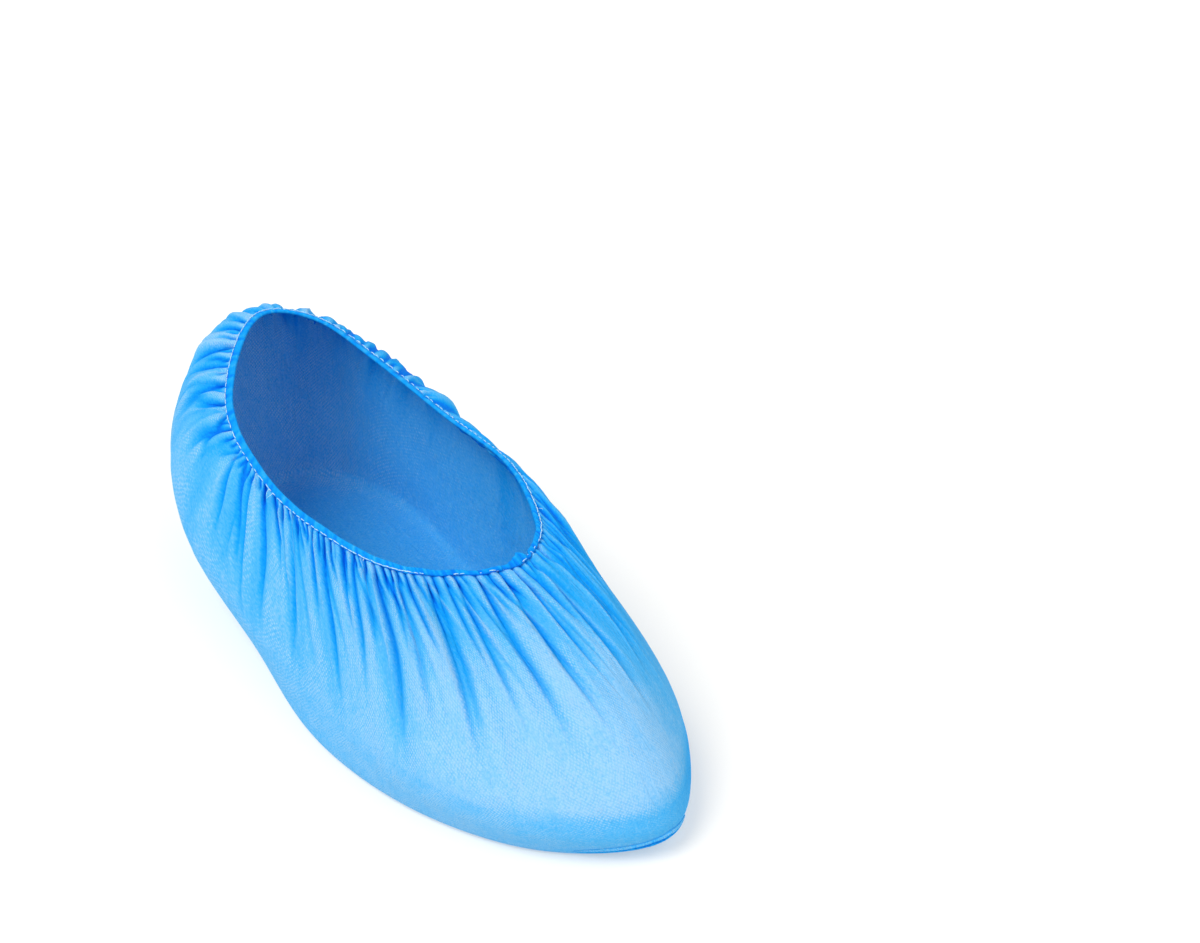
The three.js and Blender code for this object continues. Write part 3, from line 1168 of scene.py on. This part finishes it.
        # Stretched cloth on the toe's top, paler also through a painted highlight where it faces the light
        # from above.
        spread = np.where(signed > tones.taut_lit_turn, tones.taut_lit_spread[1], tones.taut_lit_spread[0])
        taut_and_lit = hump(signed, tones.taut_lit_turn, spread) * (1 - smooth_step(height, 0.66, 1.0))
        inner = np.clip((self.shape.around("rim_x", at_hem) - 8) / 38, 0, 1)
        heel = hump(np.abs(signed), 0.45, 0.09)
        loose = (tones.loose - tones.loose_heel * heel) * (1 - taut_and_lit) + tones.inner * inner
        below = (1 - height) * self.shape.lengths(at_hem)
        # Right under the stitch line, a painted highlight on the puffs between the creases; lower down, the
        # band of gathers, layered cloth with painted shade.
        petals = hump(below, 0.0, tones.petal_reach)
        gathered = hump(below, 8 * MM, 4.5 * MM)
        # Painted shade on the wall below the soft edge round the toe, which turns down from the light.
        above = height - self.cap_line(self.shape.turn_at(at_hem, height))
        low_wall_shade = (1 - smooth_step(above, -0.025, 0.02)) * front
        # Creases carry the deeper blue of layered cloth and painted shade, less of it on the stretched, lit
        # toe and more right under the stitch line.
        crease = tones.crease - tones.crease_taut_lit * taut_and_lit
        crease += tones.crease_petal * petals * (1 - front) * (1 - 0.6 * heel)
        lasting = loose + tones.gathered * gathered - tones.petal_highlight * petals + tones.low_wall_shade * low_wall_shade
        return crease * fold_layers_and_shading + lasting

    def build(self, finish: NonwovenFinish) -> bpy.types.Object:
        """Wraps the flat sheet to its worn form.

        Args:
            finish: Finish of the cloth.

        Returns:
            The piece.
        """
        bm, round_share, level = self.sheet()
        on_wall = level >= self.sole_rings
        height = self.height_at(level)
        inset = np.clip((self.sole_rings - level) / self.sole_rings, 0, 1) ** self.sole_ease
        wall, fold_layers_and_shading = self.wall_points(round_share, height)
        sole = self.sole_points(round_share, inset)
        points = np.where(on_wall[:, None], wall, sole)
        points[:, 2] = np.maximum(points[:, 2], 0.0)
        low_tone = self.tone(round_share, np.full_like(height, self.lowest), np.zeros_like(fold_layers_and_shading))
        sole_tone = self.tones.sole + (low_tone - self.tones.sole) * hump(inset, 0.0, 0.2)
        deep = np.where(on_wall, self.tone(round_share, height, fold_layers_and_shading), sole_tone)
        put(bm, points)
        down_wall = (1 - height) * self.shape.lengths(round_share)
        uv = np.stack([round_share * self.pattern_round, -down_wall], axis=-1)
        paint(bm, uv, np.clip(deep, 0, 1), (~on_wall, points[:, :2].copy()))
        piece = closed_piece(bm, "fabric_sheet", finish.material())
        solid = piece.modifiers.new("sheet", "SOLIDIFY")
        solid.thickness = self.thickness
        solid.offset = -1.0
        return piece


@dataclass
class ElasticHem:
    """The folded casing round the opening, with the elastic inside it.

    Attributes:
        shape: The smooth worn shape.
        columns: Columns of cells round the opening.
        section: Cells round the casing's section.
        thickness: Thickness of the casing.
        proud: How far its face stands out of the smooth wall.
        puckers: Waves round the casing, the strongest first.
        squareness: Powers that square the section's face and its edges; 1 would leave them round.
        swell: Depth of the puckers, and what the instep adds to it.
        wander: How far the band strays up and down, and what the instep adds to it.
        join_turn: Turn where the casing's two ends meet.
        join_width: Half width of that join, in turns.
        join_dip: How far its upper edge dips there.
        join_flare: Height of the flare before the join, as a share of the dip.
        flares: Where that flare's waves stand, in join widths, and how high each is.
        pattern: Length of cloth round the casing and round its section.
    """

    shape: WornShape
    columns: int = 760
    section: int = 16
    thickness: float = 1.8 * MM
    proud: float = 0.35 * MM
    puckers: tuple = (104, 71, 149, 43, 27, 187)
    squareness: tuple = (0.55, 0.75)
    swell: tuple = (0.14 * MM, 0.26 * MM)
    wander: tuple = (0.10 * MM, 0.30 * MM)
    join_turn: float = 0.959
    join_width: float = 0.0045
    join_dip: float = 2.2 * MM
    join_flare: float = 0.9
    flares: tuple = ((2.6, 1.0), (4.4, 0.7), (6.3, 0.4))
    pattern: tuple = (0.54, 0.014)

    def build(self, finish: NonwovenFinish) -> bpy.types.Object:
        """Sweeps the puckered section round the rim.

        Args:
            finish: Finish of the casing.

        Returns:
            The piece.
        """
        bm = flat_grid(self.columns, self.section)
        round_share, section_share = grid_shares(bm)
        rim, out, down, _ = self.shape.hem_frame(round_share)
        turns = 2 * math.pi * round_share
        phase = np.random.default_rng(5).uniform(0, 2 * math.pi, len(self.puckers))
        pucker = np.zeros_like(round_share)
        for index, waves in enumerate(self.puckers):
            pucker += np.sin(waves * turns + phase[index]) / (1.5 + 0.5 * index)
        front = hump(from_toe(round_share), 0.0, 0.11)
        face = np.cos(2 * math.pi * section_share)
        level = np.sin(2 * math.pi * section_share)
        box_face = np.sign(face) * np.abs(face) ** self.squareness[0]
        box_level = np.sign(level) * np.abs(level) ** self.squareness[1]
        upper = (1 + level) / 2
        swell = (self.swell[0] + self.swell[1] * front) * pucker
        outward = self.proud + (box_face - 1) * self.thickness / 2 + swell * (0.4 + 0.6 * face)
        wander = (self.wander[0] + self.wander[1] * front) * np.sin(23 * turns + phase[2])
        downward = self.shape.hem_reach(round_share) * (1 - box_level) / 2 + wander + 0.3 * swell
        join = from_toe(round_share - self.join_turn) / self.join_width
        standing = sum(size * hump(join, place, 1.0) for place, size in self.flares)
        downward += self.join_dip * hump(join, 0.0, 1.0) * (0.4 + 0.6 * upper)
        downward -= self.join_flare * self.join_dip * standing * upper
        put(bm, rim + out * outward[:, None] + down * downward[:, None])
        uv = np.stack([round_share, section_share], axis=-1) * self.pattern
        # Painted shade on the casing's lower half and a painted highlight on its puckers' bulges; the casing
        # is also a little deeper over the instep.
        deep = 0.62 + 0.08 * front - 0.12 * pucker + 0.16 * (1 - upper)
        paint(bm, uv, np.clip(deep, 0, 1))
        return closed_piece(bm, "hem_casing", finish.material())


@dataclass
class HemStitching:
    """The pale stitch line under the hem.

    Attributes:
        shape: The smooth worn shape.
        stitches: How many stitches go round.
        thread: Radius of the thread.
        stand: How far the stitches stand out of the smooth wall.
        inset: How far they lie above the hem's lower edge.
        half_length: Half the length of a stitch.
        sag: How far a stitch's ends dive into the cloth.
        buried: How far most stitches of the instep sink between the puckers, and the others.
        uneven: How far stitches stray along the hem in stitches, up and down, and in and out.
        hover: How far the loose ends stand off the stitches.
        ends: Loose thread ends: turn, length in millimetres and sideways curl.
    """

    shape: WornShape
    stitches: int = 190
    thread: float = 0.2 * MM
    stand: float = 0.75 * MM
    inset: float = 0.6 * MM
    half_length: float = 1.35 * MM
    sag: float = 0.30 * MM
    buried: tuple = (1.15 * MM, 0.3 * MM)
    uneven: tuple = (0.25, 0.15 * MM, 0.12 * MM)
    hover: float = 0.9 * MM
    ends: tuple = (
        (0.170, 2.6, 0.4), (0.284, 5.2, 0.9), (0.289, 4.0, -0.7), (0.957, 3.2, 0.6), (0.866, 2.8, -0.5),
    )

    def loose_end(self, bm: bmesh.types.BMesh, turn: float, length: float, curl: float) -> None:
        """Adds one loose thread end that hangs from the stitch line.

        Args:
            bm: Mesh that it goes into.
            turn: Its turn on the hem.
            length: Its length in millimetres.
            curl: How far it curls sideways, from -1 to 1.
        """
        where = np.array([turn])
        rim, out, down = (Vector(value[0]) for value in self.shape.hem_frame(where)[:3])
        along = Vector(self.shape.along(where, np.ones(1))[0])
        reach = float(self.shape.hem_reach(where)[0]) - self.inset
        steps = 12
        rings = []
        for index in range(steps + 1):
            share = index / steps
            fall = reach + length * MM * share * (1 - 0.25 * share)
            swing = curl * length * MM * (share**2) * (0.9 - 0.5 * share)
            stand = self.stand + self.hover * (1 + math.sin(2.4 * share))
            centre = rim + down * fall + along * swing + out * stand
            radius = 0.6 * self.thread * (1 - 0.3 * share)
            capped = index in (0, steps)
            made = bmesh.ops.create_circle(bm, cap_ends=capped, segments=6, radius=radius)["verts"]
            for vertex in made:
                x, y, _ = vertex.co
                vertex.co = centre + along * x + out * y
            rings.append(made)
        for lower, upper in zip(rings, rings[1:]):
            edges = {edge for vertex in lower + upper for edge in vertex.link_edges}
            pair = (set(lower), set(upper))
            loops = [edge for edge in edges if any(set(edge.verts) <= ring for ring in pair)]
            bmesh.ops.bridge_loops(bm, edges=loops)

    def build(self, finish: ThreadFinish) -> bpy.types.Object:
        """Lays the stitches end to end round the lower edge of the hem.

        Args:
            finish: Finish of the thread.

        Returns:
            The piece.
        """
        bm = bmesh.new()
        draw = np.random.default_rng(8)
        stray_along, stray_up, stray_out = self.uneven
        for index in range(self.stitches):
            offset, slope, size, sink = draw.uniform(-1, 1, 4)
            turn = np.array([(index + stray_along * offset) / self.stitches])
            rim, out, down, _ = (value[0] for value in self.shape.hem_frame(turn))
            along = Vector(self.shape.along(turn, np.ones(1))[0])
            out, down = Vector(out), Vector(down)
            low = float(self.shape.hem_reach(turn)[0]) - self.inset + stray_up * slope
            instep = math.exp(-(((float(from_toe(turn)[0]) - 0.02) / 0.10) ** 4))
            buried = self.buried[0 if size < 0.6 else 1] * instep
            centre = Vector(rim) + out * (self.stand - buried + stray_out * sink) + down * low
            direction = (along + down * 0.16 * slope).normalized()
            side = out.cross(direction).normalized()
            made = bmesh.ops.create_icosphere(bm, subdivisions=2, radius=1.0)["verts"]
            half = self.half_length + 0.2 * MM * size
            for vertex in made:
                x, y, z = vertex.co
                vertex.co = centre + direction * (x * half) + side * (y * self.thread)
                vertex.co += out * (z * self.thread - self.sag * x * x)
        for turn, length, curl in self.ends:
            self.loose_end(bm, turn, length, curl)
        bmesh.ops.recalc_face_normals(bm, faces=bm.faces[:])
        return piece_from(bm, "hem_stitching", finish.material())


@dataclass
class ToeSeam:
    """The crimped seam tuck across the lower front of the toe.

    Attributes:
        shape: The smooth worn shape.
        start: Turn of its inner end.
        end: Turn of its outer end.
        low_climb: Climb of its line at the outer end.
        high_climb: Climb of its line at the inner end.
        width: Height of the tuck.
        proud: How far its lip stands out.
        columns: Columns of cells along it.
        section: Cells round its section.
        crimps: Waves along it, the strongest first.
        crimp: How far the crimps stand out.
        fold_width: Width of its crease, as a share of half its height, and what its middle adds.
        pattern: Length of cloth along it and round its section.
    """

    shape: WornShape
    start: float = -0.026
    end: float = 0.052
    low_climb: float = 0.075
    high_climb: float = 0.205
    width: float = 5.5 * MM
    proud: float = 1.3 * MM
    columns: int = 220
    section: int = 36
    crimps: tuple = (7, 13, 22, 31, 47)
    crimp: float = 0.26 * MM
    fold_width: tuple = (0.16, 0.22)
    pattern: tuple = (0.07, 0.012)

    def build(self, finish: NonwovenFinish) -> bpy.types.Object:
        """Sweeps the folded lip along the toe.

        Args:
            finish: Finish of the cloth.

        Returns:
            The piece.
        """
        bm = flat_grid(self.columns, self.section)
        share, section_share = grid_shares(bm)
        turn = self.start + (self.end - self.start) * share
        fall = np.clip((share - 0.3) / 0.7, 0, 1)
        climb = self.high_climb + (self.low_climb - self.high_climb) * fall
        point = self.shape.wall(turn, climb)
        out = self.shape.outward(turn, climb)
        up = self.shape.wall(turn, climb + 0.01) - point
        up /= np.linalg.norm(up, axis=-1, keepdims=True)
        swell = np.sqrt(np.clip(np.sin(math.pi * share), 0, 1))
        draw = np.random.default_rng(3)
        crinkle = np.zeros_like(share)
        for waves in self.crimps:
            crinkle += np.sin(2 * math.pi * (waves * share + draw.uniform())) / (1 + waves / 14)
        level = np.cos(2 * math.pi * section_share)
        face = np.sin(2 * math.pi * section_share)
        outer = face > 0
        strayed = level - 0.22 * crinkle
        open_fold = self.fold_width[0] + self.fold_width[1] * hump(share, 0.48, 0.16)
        crease = hump(strayed, 0.20, open_fold) * outer
        upper = smooth_step(strayed, 0.30, 0.45) * outer
        outward = 0.1 * MM + face * self.proud * swell * (1 - 0.95 * crease)
        outward += self.crimp * crinkle * swell * upper
        upward = level * self.width / 2 * swell
        put(bm, point + out * outward[:, None] + up * upward[:, None])
        uv = np.stack([share, section_share], axis=-1) * self.pattern
        # Painted shadow in the crease under the lip and a painted highlight on the upper lip.
        deep = 0.38 + crease - 0.16 * upper
        paint(bm, uv, np.clip(deep, 0, 1))
        return closed_piece(bm, "toe_seam_tuck", finish.material())


@dataclass
class Studio:
    """Floor, light and camera.

    Attributes:
        camera_at: Place of the camera.
        yaw: Its turn from +Y towards +X, in degrees.
        pitch: How far it looks down, in degrees.
        lens: Focal length in millimetres.
        sensor: Width of the sensor in millimetres.
        sky: Strength of the even light from all round.
        lights: Name, direction, strength and softness of each broad light, as sun takes them.
    """

    camera_at: tuple = (-0.4323, -0.7582, 0.7120)
    yaw: float = 34.88
    pitch: float = 35.26
    lens: float = 78.0
    sensor: float = 36.0
    sky: float = 0.60
    lights: tuple = (
        ("key", (-0.83, 0.05, 1.25), 1.9, 40.0),
        ("fill", (0.6, -0.9, 0.7), 0.75, 80.0),
    )

    def camera(self) -> None:
        """Makes the camera at the viewing angle of the photograph."""
        data = bpy.data.cameras.new("view")
        data.lens = self.lens
        data.sensor_width = self.sensor
        data.sensor_fit = "HORIZONTAL"
        eye = bpy.data.objects.new("view", data)
        eye.location = self.camera_at
        tilt, turned = math.radians(90 - self.pitch), math.radians(-self.yaw)
        eye.rotation_euler = Euler((tilt, 0, turned))
        bpy.context.scene.collection.objects.link(eye)
        bpy.context.scene.camera = eye

    def floor(self) -> bpy.types.Object:
        """Makes the pale floor."""
        bm = bmesh.new()
        bmesh.ops.create_grid(bm, x_segments=2, y_segments=2, size=4.0)
        return piece_from(bm, "floor", FloorFinish().material())

    def sun(self, name: str, place: tuple, strength: float, softness: float) -> None:
        """Makes one broad light from far away, as a large softbox gives.

        Args:
            name: Name of the light.
            place: Direction that it comes from.
            strength: Its strength.
            softness: Angle that it fills, in degrees.
        """
        data = bpy.data.lights.new(name, "SUN")
        data.energy = strength
        data.angle = math.radians(softness)
        lamp = bpy.data.objects.new(name, data)
        lamp.location = place
        lamp.rotation_euler = (-Vector(place)).to_track_quat("-Z", "Y").to_euler()
        bpy.context.scene.collection.objects.link(lamp)

    def build(self) -> None:
        """Sets up the whole studio."""
        world = bpy.data.worlds.new("studio")
        world.use_nodes = True
        background = world.node_tree.nodes["Background"]
        background.inputs["Color"].default_value = (1.0, 1.0, 1.0, 1.0)
        background.inputs["Strength"].default_value = self.sky
        bpy.context.scene.world = world
        bpy.context.scene.view_settings.view_transform = "Standard"
        for light in self.lights:
            self.sun(*light)
        self.camera()
        self.floor()


def main() -> None:
    """Builds the cover piece by piece, then the studio."""
    logging.basicConfig(level=logging.INFO)
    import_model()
    shape = WornShape()
    cloth = NonwovenFinish("blue_nonwoven")
    casing = NonwovenFinish("hem_nonwoven", bump=0.2)
    body = FabricBody(shape, Gathers())
    sheet = body.build(cloth)
    declare(sheet, Slot.NONWOVEN, "fabric_body")
    hem = ElasticHem(shape).build(casing)
    declare(hem, Slot.HEM, "elastic_hem")
    seam = ToeSeam(shape).build(cloth)
    declare(seam, Slot.NONWOVEN, "toe_seam")
    stitching = HemStitching(shape).build(ThreadFinish())
    declare(stitching, Slot.THREAD)
    for piece in (sheet, hem, seam, stitching):
        LOG.info("%s: %d faces", piece.name, len(piece.data.polygons))
    Studio().build()


if __name__ == "__main__":
    main()
